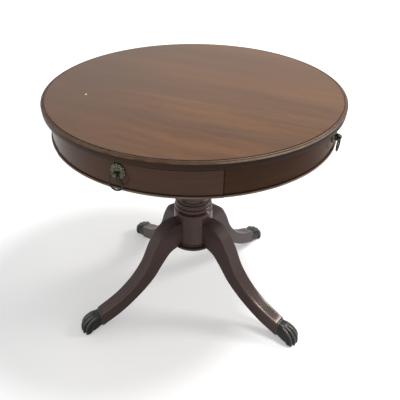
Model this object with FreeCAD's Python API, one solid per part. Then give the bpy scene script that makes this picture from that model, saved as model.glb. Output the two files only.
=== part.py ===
import FreeCAD, Part
import math
import os

Vector = FreeCAD.Vector

# Revolving drum table: a round top over a shallow drum with one drawer, on a turned pillar with four
# splayed legs. Millimetres and degrees. The origin is on the floor under the pillar, +Z is up, and the
# drawer faces -Y. An azimuth is measured from -Y towards +X.

# Whole table
table_diameter = 765.0
table_height = 695.0

# Fits between pieces
slide_gap = 0.3
pivot_gap = 0.08
overrun = 4.0

# Top: a disc with two thin beads round its upper edge and a shallow round below them
top_thickness = 19.0
top_bead_radius = 2.8
top_bead_spacing = 3.7
bead_fall_angle = 22.0
bead_inner_angle = 150.0
bead_outer_angle = 40.0
edge_setback = 1.4
edge_bulge = 0.9

# Drum: a frieze in curved sections round a floor, with a rail over the drawer
drum_depth = 94.5
top_overhang = 18.0
frieze_thickness = 20.0
frieze_names = ("right_front", "right_rear", "rear", "left_rear", "left_front")
base_bead_height = 6.0
base_bead_projection = 4.3
base_quirk = 1.2
floor_thickness = 14.0
floor_recess = 1.0
rail_height = 10.0
glue_block_size = 18.0
glue_block_length = 40.0
glue_block_angles = (58, 76, 112, 133, 166, 194, 227, 248, 284, 302)

# Drawer, which stands a little open
drawer_half_angle = 35.1
drawer_ajar = 1.2
drawer_top_gap = 0.4
drawer_end_gap = 0.3
drawer_back_clearance = 1.0
drawer_side_margin = 11.0
drawer_side_drop = 1.5
drawer_wall = 10.0
drawer_bottom_thickness = 6.0
drawer_bottom_rise = 3.0

# Guides beside the drawer, kickers over it and stops behind it
guide_width = 18.0
guide_height = 24.0
guide_gap = 0.5
kicker_lap = 15.0
stop_width = 34.0
stop_depth = 20.0
stop_height = 16.0
stop_place_share = 0.55
kicker_screw_shares = (-0.85, -0.3, 0.3, 0.85)
guide_screw_shares = (0.15, 0.5, 0.85)

# Lion mask pulls: a mask and a ring that hangs from its mouth
pull_angles = {"front": 0, "right": 90, "rear": 180, "left": 270}
mask_width = 37.0
mask_height = 41.0
mask_drop = 50.0
mask_rim = 2.5
mask_dome_height = 8.0
mask_dome_share = 0.86
muzzle_width = 12.4
muzzle_height = 15.0
muzzle_projection = 20.0
muzzle_back_share = 0.2
mouth_drop = 55.0
mouth_projection = 13.5
ring_diameter = 38.0
ring_wire = 4.0
ring_gap = 0.1
bolt_radius = 2.5
bolt_engagement = 5.0
bolt_end = 2.0
nut_width = 11.0
nut_thickness = 4.5

# Pivot: an iron spindle through the drum floor, with a bush, a washer and a nut
spindle_radius = 14.0
spindle_depth = 80.0
spindle_end = 6.0
bush_wall = 6.0
bush_flange_width = 7.0
bush_flange_thickness = 3.0
washer_width = 18.0
washer_thickness = 3.0
pivot_nut_width = 42.0
pivot_nut_height = 18.0
washer_clearance = 8.0

# Bearer on top of the pillar, with a leather ring that the drum turns on
bearer_radius = 140.0
bearer_thickness = 24.0
bearer_cover = 5.0
bearing_thickness = 2.2
bearing_margin = 5.0
bearing_width = 70.0
bearer_screw_count = 4

# Legs, as a side outline and two widths
shoulder_height = 300.0
leg_root_height = 84.0
leg_root_width = 50.0
collar_radius = 320.0
collar_top = 59.0
collar_bottom = 12.0
collar_width = 39.0
leg_top_shares = ((0.153, 1.0), (0.275, 0.983), (0.356, 0.917), (0.43, 0.797), (0.521, 0.593), (0.63, 0.443),
                  (0.78, 0.312))
leg_bottom_shares = ((0.81, 0.133), (0.655, 0.243), (0.549, 0.336), (0.456, 0.437), (0.356, 0.587),
                     (0.275, 0.69), (0.193, 0.732), (0.153, 0.74))

# The four legs aren't square to one another, nor to the drawer
pedestal_angle = 21.6
leg_angles = {"front_left": -56.5, "front_right": 56.5, "rear_right": 144.5, "rear_left": -144.5}

# Dovetail tongue of each leg in the pillar
tongue_length = 25.0
tongue_inner_width = 28.0
tongue_outer_width = 20.0
tongue_top_margin = 14.0

# Cast paw over the end of each leg
paw_length = 61.0
paw_width = 44.0
toe_count = 4
toe_groove_width = 2.2
toe_groove_share = 0.92
toe_start_share = 0.38
paw_heel_shares = ((0.2, 0.13), (0.44, 0))
paw_sole_share = 0.86
paw_toe_shares = ((1.0, 0.17), (0.93, 0.5))
paw_top_shares = ((0.66, 0.81), (0.33, 0.94))
paw_tenon_length = 15.0
paw_tenon_wall = 5.0
paw_pin_radius = 1.5
paw_pin_length = 10.0

# Turned pillar: a block for the legs, a ringed stem and a flange under the bearer
block_radius = 59.0
block_margin = 30.0
block_top_taper = 2.0
lip_projection = 12.0
lip_height = 8.0
flange_radius = 62.0
flange_height = 12.0
stem_ring_shares = ((0.86, 0.02), (0.94, 0.05), (0.86, 0.078))
stem_small_ring_shares = ((0.82, 0.1), (0.9, 0.12), (0.82, 0.14), (0.78, 0.155))
stem_bulb_shares = ((0.865, 0.19), (0.915, 0.262), (0.86, 0.36), (0.72, 0.53), (0.645, 0.7), (0.64, 0.77))
stem_collar_shares = ((0.74, 0.8), (0.66, 0.83), (0.7, 0.92), (0.82, 1.0))

# Iron cross under the pillar
brace_thickness = 3.0
brace_arm_width = 22.0
brace_hub_radius = 30.0
brace_edge_margin = 6.0

# Wood screws
screw_radius = 2.2
screw_head_radius = 4.4
screw_head_height = 2.6
screw_bite = 10.0
long_screw_bite = 22.0

# Radii and levels that follow from the sizes above
top_radius = table_diameter / 2
frieze_radius = top_radius - top_overhang
frieze_inner = frieze_radius - frieze_thickness
top_underside = table_height - top_thickness
drum_bottom = table_height - drum_depth
floor_bottom = drum_bottom + floor_recess
floor_top = floor_bottom + floor_thickness
rail_bottom = top_underside - rail_height
bearing_bottom = floor_bottom - slide_gap - bearing_thickness
pillar_top = bearing_bottom - bearer_thickness
pillar_bottom = shoulder_height - leg_root_height
block_top = shoulder_height + block_margin
lip_radius = block_radius + lip_projection

drawer_front_inner = frieze_inner + drawer_back_clearance
drawer_front_top = rail_bottom - drawer_top_gap
drawer_half_width = frieze_inner * math.sin(math.radians(drawer_half_angle)) - drawer_side_margin
drawer_base = floor_top + slide_gap
drawer_rim = drawer_front_top - drawer_side_drop
washer_radius = spindle_radius + washer_width
stop_front = washer_radius + washer_clearance + stop_depth
drawer_back_y = -stop_front - slide_gap

mask_level = table_height - mask_drop
mouth_level = table_height - mouth_drop
mouth_radius = frieze_radius + mouth_projection
ring_radius = (ring_diameter - ring_wire) / 2
wire_radius = ring_wire / 2

bush_radius = spindle_radius + bush_wall
bush_flange_radius = bush_radius + bush_flange_width
bush_flange_top = floor_top + bush_flange_thickness
washer_bottom = bush_flange_top + slide_gap
pivot_nut_bottom = washer_bottom + washer_thickness
pivot_nut_top = pivot_nut_bottom + pivot_nut_height


# Builders shared by the pieces
def flat_face(start, steps):
    edges = []
    here = start
    for kind, points in steps:
        ends = [Vector(x, 0, z) for x, z in (here, *points)]
        if kind == "line":
            edges += [Part.LineSegment(a, b).toShape() for a, b in zip(ends, ends[1:])]
        elif kind == "arc":
            edges.append(Part.Arc(*ends).toShape())
        else:
            curve = Part.BSplineCurve()
            curve.interpolate(ends)
            edges.append(curve.toShape())
        here = points[-1]
    if here != start:
        edges.append(Part.LineSegment(Vector(here[0], 0, here[1]), Vector(start[0], 0, start[1])).toShape())
    return Part.Face(Part.Wire(edges))


def turned(face, from_azimuth=-90, to_azimuth=270):
    placed = face.copy()
    placed.rotate(Vector(), Vector(0, 0, 1), from_azimuth - 90)
    return placed.revolve(Vector(), Vector(0, 0, 1), to_azimuth - from_azimuth)


def slab(face, width):
    placed = face.copy()
    placed.translate(Vector(0, -width / 2, 0))
    return placed.extrude(Vector(0, width, 0))


def disc(radius, bottom, top):
    return Part.makeCylinder(radius, top - bottom, Vector(0, 0, bottom))


def washer_shape(inner, outer, bottom, top):
    return disc(outer, bottom, top).cut(disc(inner, bottom - overrun, top + overrun))


def box(x0, x1, y0, y1, z0, z1):
    return Part.makeBox(x1 - x0, y1 - y0, z1 - z0, Vector(x0, y0, z0))


def from_radial(shape, azimuth):
    placed = shape.copy()
    placed.rotate(Vector(), Vector(0, 0, 1), azimuth - 90)
    return placed


def from_front(shape, azimuth):
    placed = shape.copy()
    placed.rotate(Vector(), Vector(0, 0, 1), azimuth)
    return placed


def ring_of(shape, count):
    return [from_front(shape, 360 * index / count) for index in range(count)]


def hexagon(width, bottom, top):
    corners = [Vector(0, 0, bottom) + Vector(math.cos(turn), math.sin(turn), 0) * (width / math.sqrt(3))
               for turn in (math.radians(60 * index) for index in range(7))]
    return Part.Face(Part.makePolygon(corners)).extrude(Vector(0, 0, top - bottom))


def wood_screw(place, direction, length):
    shank = Part.makeCylinder(screw_radius, length, place, direction)
    head = Part.makeCone(screw_head_radius, screw_radius, screw_head_height, place, direction)
    return shank.fuse(head)


def bored(shape, tools):
    return shape.cut(Part.makeCompound(tools))


# Top and drum
def table_top():
    fall = math.radians(bead_fall_angle)
    outer_middle = top_radius - top_bead_radius
    inner_middle = outer_middle - top_bead_spacing * math.cos(fall)
    inner_level = table_height - top_bead_radius
    outer_level = inner_level - top_bead_spacing * math.sin(fall)
    meeting_angle = math.degrees(math.acos(top_bead_spacing / 2 / top_bead_radius))

    def bead(middle, level, angles):
        turns = [math.radians(angle) for angle in angles]
        return [(middle + top_bead_radius * math.cos(turn), level + top_bead_radius * math.sin(turn))
                for turn in turns]

    inner_end = meeting_angle - bead_fall_angle
    inner = bead(inner_middle, inner_level, (inner_end, (inner_end + bead_inner_angle) / 2, bead_inner_angle))
    outer_start = 180 - meeting_angle - bead_fall_angle
    outer = bead(outer_middle, outer_level, (-bead_outer_angle, (outer_start - bead_outer_angle) / 2))
    edge_radius = top_radius - edge_setback
    edge_top = outer[0][1]
    return turned(flat_face((0, top_underside), [
        ("line", [(edge_radius, top_underside)]),
        ("arc", [(edge_radius + edge_bulge, (top_underside + edge_top) / 2), (edge_radius, edge_top)]),
        ("line", [outer[0]]),
        ("arc", [outer[1], inner[0]]),
        ("arc", [inner[1], inner[2]]),
        ("line", [(inner[2][0], table_height), (0, table_height)]),
    ]))


def frieze_face(inner, top):
    bead_top = drum_bottom + base_bead_height
    bead_middle = drum_bottom + base_bead_height / 2
    bead_start = frieze_radius + base_bead_projection - base_bead_height / 2
    return flat_face((inner, drum_bottom), [
        ("line", [(bead_start, drum_bottom)]),
        ("arc", [(frieze_radius + base_bead_projection, bead_middle), (bead_start, bead_top)]),
        ("line", [(frieze_radius - base_quirk, bead_top),
                  (frieze_radius - base_quirk, bead_top + base_quirk),
                  (frieze_radius, bead_top + base_quirk),
                  (frieze_radius, top),
                  (inner, top)]),
    ])


def frieze_sections():
    span = (360 - 2 * drawer_half_angle) / len(frieze_names)
    starts = [drawer_half_angle + span * index for index in range(len(frieze_names))]
    face = frieze_face(frieze_inner, top_underside)
    return {"frieze_" + name: turned(face, start, start + span) for name, start in zip(frieze_names, starts)}


def drawer_rail():
    ring = washer_shape(frieze_inner, frieze_radius, rail_bottom, top_underside)
    wedge = turned(flat_face((0, rail_bottom), [
        ("line", [(top_radius, rail_bottom), (top_radius, top_underside), (0, top_underside)]),
    ]), -drawer_half_angle, drawer_half_angle)
    return ring.common(wedge)


def glue_block():
    reach = math.degrees(glue_block_length / frieze_inner)
    return turned(flat_face((frieze_inner, floor_top), [
        ("line", [(frieze_inner, floor_top + glue_block_size), (frieze_inner - glue_block_size, floor_top)]),
    ]), 90 - reach / 2, 90 + reach / 2)


def glue_blocks():
    return [from_radial(glue_block(), azimuth) for azimuth in glue_block_angles]


def inside_drum(shape):
    return shape.common(disc(frieze_inner, floor_bottom, top_underside))


def guide(side):
    inner = side * (drawer_half_width + guide_gap)
    outer = inner + side * guide_width
    low, high = sorted((inner, outer))
    back = stop_depth - stop_front
    return inside_drum(box(low, high, -frieze_inner, back, floor_top, floor_top + guide_height))


def guide_middle(side):
    return side * (drawer_half_width + guide_gap + guide_width / 2)


def guide_screws():
    screws = []
    for side in (-1, 1):
        x = guide_middle(side)
        front = -math.sqrt(frieze_inner ** 2 - x ** 2)
        back = stop_depth - stop_front
        for share in guide_screw_shares:
            place = Vector(x, front + share * (back - front), floor_bottom)
            screws.append(wood_screw(place, Vector(0, 0, 1), floor_thickness + screw_bite))
    return screws


def kicker(side):
    inner = side * (drawer_half_width - kicker_lap)
    outer = side * (drawer_half_width + guide_gap + guide_width)
    low, high = sorted((inner, outer))
    return inside_drum(box(low, high, -frieze_inner, frieze_inner, rail_bottom, top_underside))


def kicker_screws():
    screws = []
    for side in (-1, 1):
        x = side * drawer_half_width
        half = math.sqrt(frieze_inner ** 2 - x ** 2)
        for share in kicker_screw_shares:
            place = Vector(x, share * half, rail_bottom)
            screws.append(wood_screw(place, Vector(0, 0, 1), rail_height + screw_bite))
    return screws


def drawer_stops():
    middle = stop_place_share * drawer_half_width
    return [box(x - stop_width / 2, x + stop_width / 2, -stop_front, stop_depth - stop_front,
                floor_top, floor_top + stop_height) for x in (-middle, middle)]


def drum_floor():
    return disc(frieze_inner, floor_bottom, floor_top).cut(disc(bush_radius, floor_bottom, floor_top))


def pivot_bush():
    sleeve = disc(bush_radius, floor_bottom, bush_flange_top)
    flange = disc(bush_flange_radius, floor_top, bush_flange_top)
    bore = disc(spindle_radius + pivot_gap, floor_bottom, bush_flange_top)
    return sleeve.fuse(flange).cut(bore).removeSplitter()


# Drawer
def drawer_front():
    trim = math.degrees(drawer_end_gap / frieze_radius)
    face = frieze_face(drawer_front_inner, drawer_front_top)
    return turned(face, -drawer_half_angle + trim, drawer_half_angle - trim)


def behind_front(shape):
    return shape.common(disc(drawer_front_inner, floor_bottom, top_underside))


def drawer_side(side):
    low, high = sorted((side * drawer_half_width, side * (drawer_half_width - drawer_wall)))
    return behind_front(box(low, high, -drawer_front_inner, drawer_back_y, drawer_base, drawer_rim))


def drawer_back():
    half = drawer_half_width - drawer_wall
    return box(-half, half, drawer_back_y - drawer_wall, drawer_back_y, drawer_base, drawer_rim)


def drawer_bottom():
    half = drawer_half_width - drawer_wall
    low = drawer_base + drawer_bottom_rise
    return behind_front(box(-half, half, -drawer_front_inner, drawer_back_y - drawer_wall,
                            low, low + drawer_bottom_thickness))


# Pulls, made at azimuth 0 where outwards is -Y
def oval(width, height, back, front):
    edge = Part.Ellipse(Vector(), height / 2, width / 2).toShape()
    face = Part.Face(Part.Wire(edge))
    face.rotate(Vector(), Vector(0, 0, 1), 90)
    face.rotate(Vector(), Vector(1, 0, 0), 90)
    face.translate(Vector(0, -back, mask_level))
    return face.extrude(Vector(0, back - front, 0))


def ellipsoid(half_width, half_depth, half_height, radius, level):
    stretch = FreeCAD.Matrix()
    stretch.scale(half_width, half_depth, half_height)
    ball = Part.makeSphere(1).transformGeometry(stretch)
    ball.translate(Vector(0, -radius, level))
    return ball


def ring_path():
    reach = ring_radius - wire_radius - ring_gap
    turn = math.asin(muzzle_width / 2 / reach)
    ends = [(side * reach * math.sin(turn), ring_radius - reach * math.cos(turn)) for side in (-1, 1)]
    face = flat_face((ends[0][0], 0), [
        ("line", [ends[0]]),
        ("arc", [(0, wire_radius + ring_gap), ends[1]]),
        ("line", [(ends[1][0], 0)]),
    ])
    bore = face.revolve(Vector(), Vector(1, 0, 0), 360)
    bore.translate(Vector(0, -mouth_radius, mouth_level))
    return bore


def mask_bolt(inner_radius):
    start = frieze_radius + bolt_engagement
    end = inner_radius - nut_thickness - bolt_end
    return Part.makeCylinder(bolt_radius, start - end, Vector(0, -start, mask_level), Vector(0, 1, 0))


def mask_nut(inner_radius):
    corner = nut_width / math.sqrt(3)
    seat = math.sqrt(inner_radius ** 2 - corner ** 2)
    nut = hexagon(nut_width, 0, nut_thickness)
    nut.rotate(Vector(), Vector(1, 0, 0), 90)
    nut.translate(Vector(0, nut_thickness - seat, mask_level))
    return nut.cut(mask_bolt(inner_radius))


def lion_mask():
    rim = oval(mask_width, mask_height, frieze_inner, frieze_radius + mask_rim)
    dome = ellipsoid(mask_dome_share * mask_width / 2, mask_dome_height, mask_dome_share * mask_height / 2,
                     frieze_radius, mask_level)
    muzzle_half = muzzle_projection * (1 - muzzle_back_share) / 2
    muzzle = ellipsoid(muzzle_width / 2, muzzle_half, muzzle_height / 2,
                       frieze_radius + muzzle_projection - muzzle_half, mouth_level)
    whole = rim.fuse([dome, muzzle]).cut(disc(frieze_radius, drum_bottom, top_underside))
    return whole.cut(ring_path()).cut(mask_bolt(frieze_inner))


def pull_ring():
    return Part.makeTorus(ring_radius, wire_radius, Vector(0, -mouth_radius, mouth_level - ring_radius),
                          Vector(0, 1, 0))


# Pivot and bearer
def spindle():
    return disc(spindle_radius, pillar_top - spindle_depth, pivot_nut_top + spindle_end)


def pivot_washer():
    return washer_shape(spindle_radius, washer_radius, washer_bottom, pivot_nut_bottom)


def pivot_nut():
    return hexagon(pivot_nut_width, pivot_nut_bottom, pivot_nut_top).cut(spindle())


def pillar_tenon_radius():
    return (spindle_radius + flange_radius) / 2


def bearer_screws():
    radius = (pillar_tenon_radius() + flange_radius) / 2
    screw = wood_screw(Vector(0, -radius, bearing_bottom), Vector(0, 0, -1), bearer_thickness + screw_bite)
    return ring_of(screw, bearer_screw_count)


def bearer():
    block = disc(bearer_radius, pillar_top, bearing_bottom)
    tenon = disc(pillar_tenon_radius(), pillar_top, bearing_bottom - bearer_cover)
    return bored(block, [tenon, spindle(), *bearer_screws()])


def bearing_ring():
    outer = bearer_radius - bearing_margin
    return washer_shape(outer - bearing_width, outer, bearing_bottom, bearing_bottom + bearing_thickness)


# Pillar
def on_stem(shares):
    height = pillar_top - flange_height - block_top
    return [(radius * block_radius, block_top + level * height) for radius, level in shares]


def pillar_solid():
    lip_top = pillar_bottom + lip_height
    lip_start = lip_radius - lip_height / 2
    ring, small_ring = on_stem(stem_ring_shares), on_stem(stem_small_ring_shares)
    collar = on_stem(stem_collar_shares)
    flange_bottom = pillar_top - flange_height
    return turned(flat_face((0, pillar_bottom), [
        ("line", [(lip_start, pillar_bottom)]),
        ("arc", [(lip_radius, pillar_bottom + lip_height / 2), (lip_start, lip_top)]),
        ("line", [(block_radius + block_top_taper, lip_top)]),
        ("arc", [(block_radius + block_top_taper / 3, lip_top + block_top_taper / 3),
                 (block_radius, lip_top + block_top_taper)]),
        ("line", [(block_radius - block_top_taper, block_top), ring[0]]),
        ("arc", ring[1:]),
        ("line", [small_ring[0]]),
        ("arc", small_ring[1:3]),
        ("line", [small_ring[3]]),
        ("curve", on_stem(stem_bulb_shares)),
        ("arc", collar[:2]),
        ("curve", collar[2:]),
        ("line", [(flange_radius, flange_bottom), (flange_radius, pillar_top),
                  (pillar_tenon_radius(), pillar_top),
                  (pillar_tenon_radius(), bearing_bottom - bearer_cover),
                  (0, bearing_bottom - bearer_cover)]),
    ]))


def pillar():
    sockets = [from_radial(tongue(), azimuth) for azimuth in leg_turns().values()]
    return bored(pillar_solid(), [*sockets, spindle(), *bearer_screws(), *brace_screws()])


# Legs, made along +X, with the paws on their ends
def leg_turns():
    return {name: azimuth + pedestal_angle for name, azimuth in leg_angles.items()}


def on_leg(shares):
    return [(reach * collar_radius, level * shoulder_height) for reach, level in shares]


def tongue():
    start, end = block_radius - tongue_length, block_radius
    half_in, half_out = tongue_inner_width / 2, tongue_outer_width / 2
    corners = [Vector(start, -half_in, pillar_bottom), Vector(end, -half_out, pillar_bottom),
               Vector(lip_radius, -half_out, pillar_bottom), Vector(lip_radius, half_out, pillar_bottom),
               Vector(end, half_out, pillar_bottom), Vector(start, half_in, pillar_bottom)]
    corners.append(corners[0])
    return Part.Face(Part.makePolygon(corners)).extrude(Vector(0, 0, leg_root_height - tongue_top_margin))


def leg_plan():
    root, end = leg_root_width / 2, collar_width / 2
    corners = [Vector(block_radius, -root, 0), Vector(collar_radius, -end, 0),
               Vector(collar_radius, end, 0), Vector(block_radius, root, 0),
               Vector(0, root, 0), Vector(0, -root, 0), Vector(block_radius, -root, 0)]
    return Part.Face(Part.makePolygon(corners)).extrude(Vector(0, 0, block_top))


def paw_tenon():
    half = collar_width / 2 - paw_tenon_wall
    return box(collar_radius, collar_radius + paw_tenon_length, -half, half,
               collar_bottom + paw_tenon_wall, collar_top - 2 * paw_tenon_wall)


def leg():
    top = on_leg(leg_top_shares)
    side = flat_face(top[0], [
        ("curve", [*top[1:], (collar_radius, collar_top)]),
        ("line", [(collar_radius, collar_bottom)]),
        ("curve", on_leg(leg_bottom_shares)),
    ])
    blade = slab(side, leg_root_width).common(leg_plan())
    blade = blade.cut(pillar_solid()).cut(disc(lip_radius, 0, pillar_bottom))
    outside = disc(lip_radius + overrun, pillar_bottom, block_top).common(pillar_solid())
    return blade.fuse([tongue().common(outside), paw_tenon()])


def paw_point(share):
    return collar_radius + share[0] * paw_length, share[1] * collar_top


def paw_face():
    return flat_face((collar_radius, collar_bottom), [
        ("arc", [paw_point(share) for share in paw_heel_shares]),
        ("line", [paw_point((paw_sole_share, 0))]),
        ("arc", [paw_point(share) for share in paw_toe_shares]),
        ("curve", [*(paw_point(share) for share in paw_top_shares), (collar_radius, collar_top)]),
    ])


def paw_plan():
    start, full = collar_width / 2, paw_width / 2
    middle = collar_radius + toe_start_share * paw_length
    tip = collar_radius + paw_length
    corners = [Vector(collar_radius, -start, 0), Vector(middle, -full, 0), Vector(tip, -full, 0),
               Vector(tip, full, 0), Vector(middle, full, 0), Vector(collar_radius, start, 0),
               Vector(collar_radius, -start, 0)]
    return Part.Face(Part.makePolygon(corners)).extrude(Vector(0, 0, collar_top))


def toe_grooves():
    inner = paw_face()
    inner.scale(toe_groove_share, Vector(collar_radius, 0, 0))
    band = slab(paw_face(), toe_groove_width).cut(slab(inner, toe_groove_width))
    start = collar_radius + toe_start_share * paw_length
    band = band.common(box(start, start + paw_length, -paw_width, paw_width, 0, collar_top))
    grooves = []
    for index in range(1, toe_count):
        groove = band.copy()
        groove.translate(Vector(0, paw_width * (index / toe_count - 0.5), 0))
        grooves.append(groove)
    return grooves


def paw_pins(past_surface=0):
    middle = (collar_bottom + collar_top - paw_tenon_wall) / 2
    start = collar_width / 2 + past_surface
    return [Part.makeCylinder(paw_pin_radius, paw_pin_length + past_surface,
                              Vector(collar_radius + paw_tenon_length / 2, side * start, middle),
                              Vector(0, -side, 0)) for side in (-1, 1)]


def paw():
    body = slab(paw_face(), paw_width).common(paw_plan())
    return bored(body, [*toe_grooves(), paw_tenon(), *paw_pins(overrun)])


# Iron cross under the pillar
def brace_screws():
    radius = block_radius - tongue_length / 2
    return [from_radial(wood_screw(Vector(radius, 0, pillar_bottom - brace_thickness), Vector(0, 0, 1),
                                   long_screw_bite), azimuth) for azimuth in leg_turns().values()]


def brace_plate():
    bottom = pillar_bottom - brace_thickness
    arm = box(0, block_radius - brace_edge_margin, -brace_arm_width / 2, brace_arm_width / 2,
              bottom, pillar_bottom)
    arms = [from_radial(arm, azimuth) for azimuth in leg_turns().values()]
    plate = disc(brace_hub_radius, bottom, pillar_bottom).fuse(arms).removeSplitter()
    return bored(plate, brace_screws())


# Every piece by its name
def pedestal_pieces():
    pieces = {
        "pillar": pillar(),
        "bearer": bearer(),
        "bearer_screws": Part.makeCompound(bearer_screws()),
        "bearing_ring": bearing_ring(),
        "pivot_spindle": spindle(),
        "pivot_washer": pivot_washer(),
        "pivot_nut": pivot_nut(),
        "brace_plate": brace_plate(),
        "brace_screws": Part.makeCompound(brace_screws()),
    }
    pins = []
    for name, azimuth in leg_turns().items():
        pieces[name + "_leg"] = bored(from_radial(bored(leg(), paw_pins()), azimuth), brace_screws())
        pieces[name + "_paw"] = from_radial(paw(), azimuth)
        pins += [from_radial(pin, azimuth) for pin in paw_pins()]
    pieces["paw_pins"] = Part.makeCompound(pins)
    return pieces


def drum_pieces():
    fixed = {name: azimuth for name, azimuth in pull_angles.items() if name != "front"}
    bolts = [from_front(mask_bolt(frieze_inner), azimuth) for azimuth in fixed.values()]
    nuts = [from_front(mask_nut(frieze_inner), azimuth) for azimuth in fixed.values()]
    pieces = {name: bored(shape, bolts) for name, shape in frieze_sections().items()}
    pieces.update({
        "table_top": bored(table_top(), kicker_screws()),
        "drum_floor": bored(drum_floor(), guide_screws()),
        "drawer_rail": drawer_rail(),
        "guide_left": bored(guide(-1), guide_screws()),
        "guide_right": bored(guide(1), guide_screws()),
        "kicker_left": bored(kicker(-1), kicker_screws()),
        "kicker_right": bored(kicker(1), kicker_screws()),
        "guide_screws": Part.makeCompound(guide_screws()),
        "kicker_screws": Part.makeCompound(kicker_screws()),
        "drawer_stops": Part.makeCompound(drawer_stops()),
        "glue_blocks": Part.makeCompound(glue_blocks()),
        "pivot_bush": pivot_bush(),
        "mask_bolts": Part.makeCompound(bolts),
        "mask_nuts": Part.makeCompound(nuts),
    })
    for name, azimuth in fixed.items():
        pieces["lion_mask_" + name] = from_front(lion_mask(), azimuth)
        pieces["ring_" + name] = from_front(pull_ring(), azimuth)
    return pieces


def drawer_pieces():
    pieces = {
        "drawer_front": drawer_front().cut(mask_bolt(drawer_front_inner)),
        "drawer_side_left": drawer_side(-1),
        "drawer_side_right": drawer_side(1),
        "drawer_back": drawer_back(),
        "drawer_bottom": drawer_bottom(),
        "drawer_mask_bolt": mask_bolt(drawer_front_inner),
        "drawer_mask_nut": mask_nut(drawer_front_inner),
        "lion_mask_front": lion_mask(),
        "ring_front": pull_ring(),
    }
    for shape in pieces.values():
        shape.translate(Vector(0, -drawer_ajar, 0))
    return pieces


os.makedirs("parts", exist_ok=True)
for name, shape in {**pedestal_pieces(), **drum_pieces(), **drawer_pieces()}.items():
    shape.exportStep(f"parts/{name}.step")
    print(f"{name}: {len(shape.Solids)} solid, {shape.Volume:.0f} mm3")
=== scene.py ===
# Revolving drum table on four splayed legs: its finishes, its carved and cast pieces, and a pale studio
import math

import bmesh
import bpy
import numpy as np
from mathutils import Matrix, Vector


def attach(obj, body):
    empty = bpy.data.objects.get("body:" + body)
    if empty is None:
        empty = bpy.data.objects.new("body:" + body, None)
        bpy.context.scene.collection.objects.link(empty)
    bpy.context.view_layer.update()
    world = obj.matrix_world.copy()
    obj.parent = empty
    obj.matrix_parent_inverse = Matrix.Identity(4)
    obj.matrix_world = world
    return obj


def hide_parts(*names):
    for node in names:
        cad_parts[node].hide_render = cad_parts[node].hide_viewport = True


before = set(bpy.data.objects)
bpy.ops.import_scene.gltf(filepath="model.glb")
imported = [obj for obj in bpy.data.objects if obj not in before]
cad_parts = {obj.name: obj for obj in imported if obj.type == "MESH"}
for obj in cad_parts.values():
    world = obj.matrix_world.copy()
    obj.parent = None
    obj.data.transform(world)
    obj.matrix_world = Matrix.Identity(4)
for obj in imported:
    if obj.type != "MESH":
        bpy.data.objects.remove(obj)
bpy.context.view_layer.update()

print("frame: %d nodes" % len(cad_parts))

screenCurve = {"knee": 0.04045, "slope": 12.92, "offset": 0.055, "power": 2.4}


# A colour as a screen shows it, turned by the screen's curve into the linear values that nodes take
def tone(red, green, blue):
    shown, offset = np.array([red, green, blue]) / 255, screenCurve["offset"]
    bright = ((shown + offset) / (1 + offset)) ** screenCurve["power"]
    return tuple(np.where(shown > screenCurve["knee"], bright, shown / screenCurve["slope"])) + (1.0,)


class Wire:  # one output of a node; sums, products and powers of it add Math nodes
    def __init__(self, nodes, socket):
        self.nodes = nodes
        self.socket = socket

    def math(self, operation, *values):
        return self.nodes.add("Math", dict(enumerate(values)), operation=operation)

    def __add__(self, other):
        return self.math("ADD", self, other)

    def __sub__(self, other):
        return self.math("SUBTRACT", self, other)

    def __rsub__(self, other):
        return self.math("SUBTRACT", other, self)

    def __mul__(self, other):
        return self.math("MULTIPLY", self, other)

    def __pow__(self, other):
        return self.math("POWER", self, other)

    def __abs__(self):
        return self.math("ABSOLUTE", self)

    __radd__ = __add__
    __rmul__ = __mul__

    def largest(self, other):
        return self.math("MAXIMUM", self, other)

    def rise(self, low, high):  # 0 up to low, 1 from high, an S between them
        return self.nodes.add("MapRange", {0: self, 1: low, 2: high}, interpolation_type="SMOOTHSTEP")

    def near(self, middle, reach):  # 1 at middle, falling to 0 at a distance of reach
        return 1 - abs(self - middle).rise(0, reach)


class Nodes:  # a tree of shader nodes; add() makes one, sets it and joins its inputs
    def __init__(self, tree):
        self.tree = tree

    def add(self, kind, inputs=None, output=0, stops=(), **settings):
        made = self.tree.nodes.new("ShaderNode" + kind)
        for key, value in settings.items():
            setattr(made, key, value)
        for place, (position, colour) in enumerate(stops):
            ramp = made.color_ramp.elements
            stop = ramp[place] if place < 2 else ramp.new(position)
            stop.position = position
            stop.color = colour
        self.feed(made, inputs or {})
        return Wire(self, made.outputs[output])

    def feed(self, made, inputs):
        for key, value in inputs.items():
            if isinstance(value, Wire):
                self.tree.links.new(value.socket, made.inputs[key])
            else:
                made.inputs[key].default_value = value

    def noise(self, place, size, detail=3.0, rough=0.5):  # size: metres along x, y and z of one blotch
        scaled = self.add("VectorMath", {0: place, 1: tuple(1 / s for s in size)}, operation="MULTIPLY")
        return self.add("TexNoise", {"Vector": scaled, "Scale": 1.0, "Detail": detail, "Roughness": rough})

    def mix(self, share, first, second):
        return self.add("Mix", {0: share, 6: first, 7: second}, output=2, data_type="RGBA")

    def axes(self, place):
        return [self.add("SeparateXYZ", {0: place}, output=axis) for axis in "XYZ"]

    def join(self, along, across, through):
        return self.add("CombineXYZ", {0: along, 1: across, 2: through})


def newFinish(name):  # a material, its tree of nodes and its shader
    material = bpy.data.materials.new(name)
    material.use_nodes = True
    return material, Nodes(material.node_tree), material.node_tree.nodes["Principled BSDF"]


# Wood

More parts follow.
